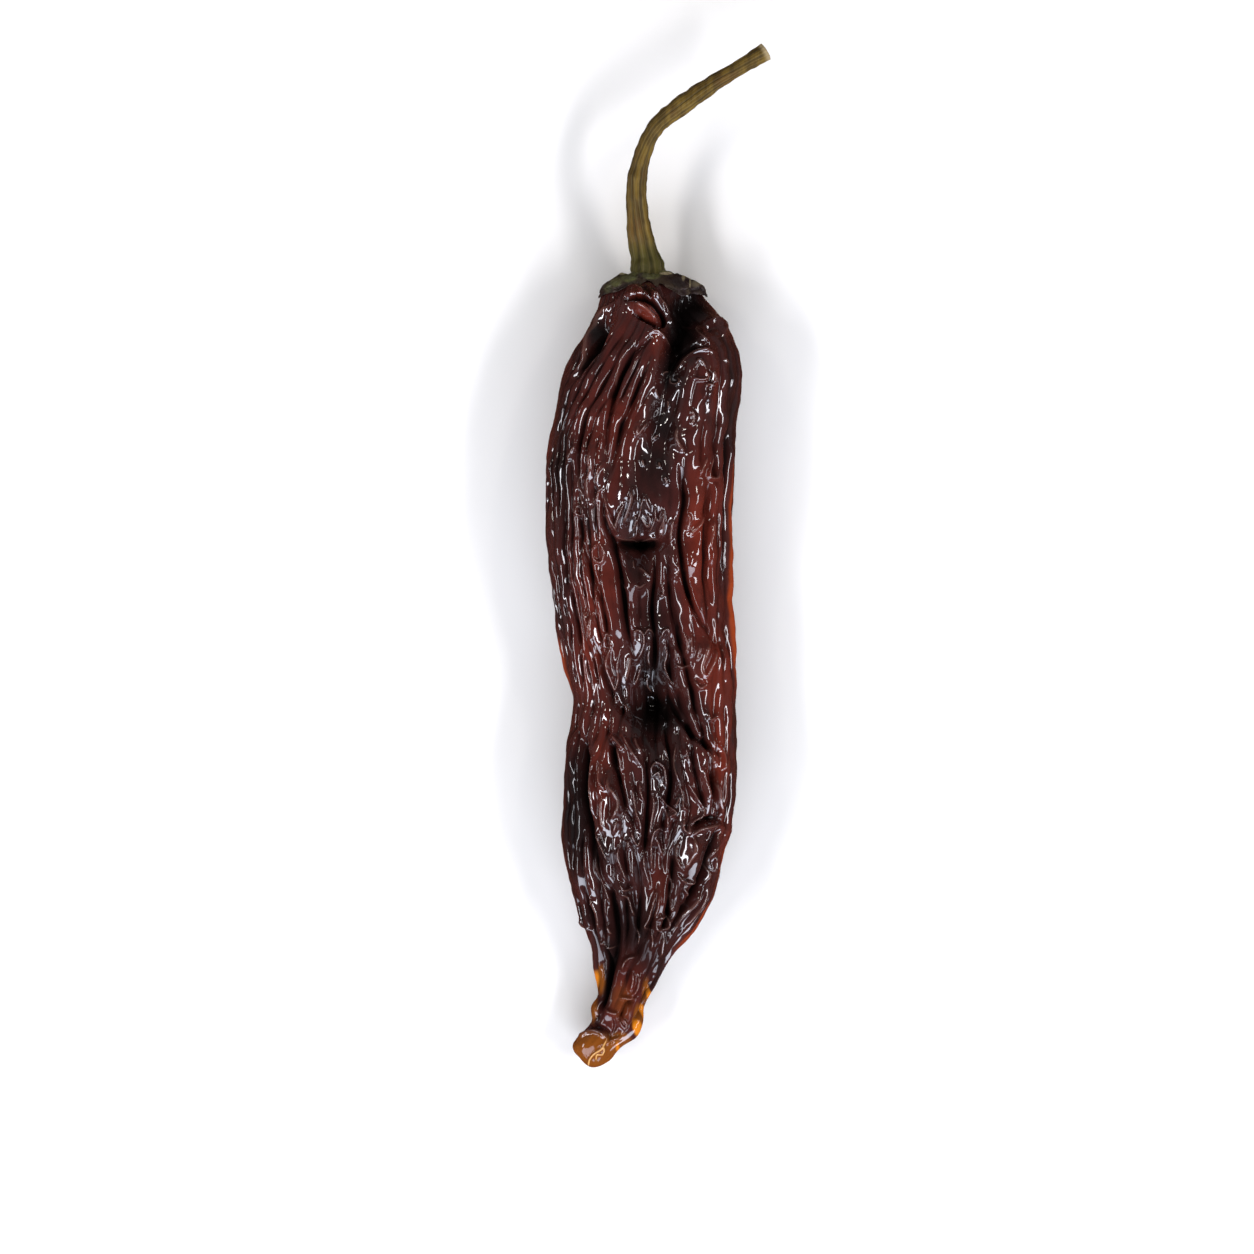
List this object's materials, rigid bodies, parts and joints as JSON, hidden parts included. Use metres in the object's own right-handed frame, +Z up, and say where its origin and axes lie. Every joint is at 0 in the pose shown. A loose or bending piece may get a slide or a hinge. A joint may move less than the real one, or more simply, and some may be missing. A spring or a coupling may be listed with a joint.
{
  "type": "dried chilli pod",
  "caption": "Dried chilli pod lying on its side: a flattened, deeply wrinkled body with a narrow twisted tip, a small lobed calyx and a bent stem.",
  "frame": {"origin": "centre of the bounding box in plan, on the surface that the pod lies on", "axes": "+Y along the pod towards its stem, +Z up from the surface, +X to the right when looking down with the stem at the far end"},
  "size_m": [0.0336, 0.1532, 0.0172],
  "materials": {
    "pod_skin": "glossy dried skin, dark reddish brown to black, amber where it is thin",
    "calyx_husk": "dull papery husk, olive brown",
    "stem_bark": "dull ribbed stalk, olive brown"
  },
  "bodies": {
    "root": {"pod": "pod_skin", "calyx": "calyx_husk", "stem": "stem_bark"}
  },
  "joints": []
}
